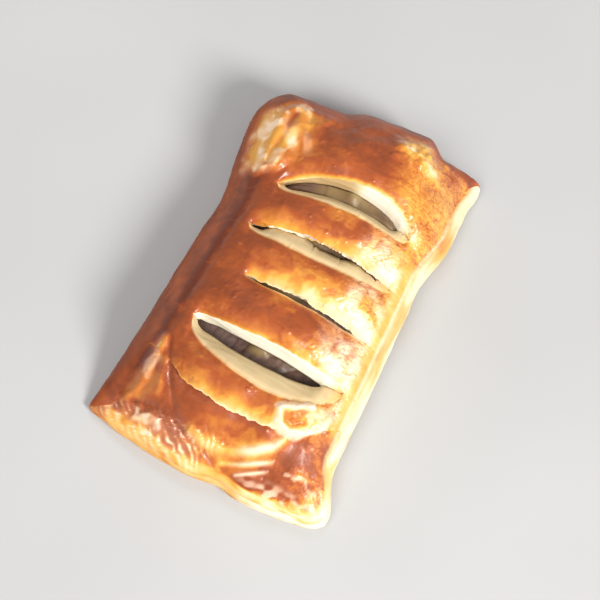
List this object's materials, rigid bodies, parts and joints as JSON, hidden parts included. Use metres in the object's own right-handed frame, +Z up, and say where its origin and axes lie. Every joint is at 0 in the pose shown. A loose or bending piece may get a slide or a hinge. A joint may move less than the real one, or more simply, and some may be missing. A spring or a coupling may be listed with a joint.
{
  "type": "vegetable strudel",
  "caption": "Oblong slice of folded puff pastry with a slashed, egg-glazed lid over a vegetable filling, ends pressed flat and corners folded.",
  "frame": {"origin": "middle of the underside's bounding box, on the surface that the pastry lies on", "axes": "+Z up, +Y along the length towards the thick rolled end, +X across towards the paler side"},
  "size_m": [0.1012, 0.1618, 0.037],
  "materials": {
    "crust": "glossy egg-glazed baked puff pastry, golden to deep brown",
    "filling": "moist cooked vegetables in a thick pale sauce"
  },
  "bodies": {
    "root": {"pastry": "crust", "filling": "filling"}
  },
  "joints": []
}
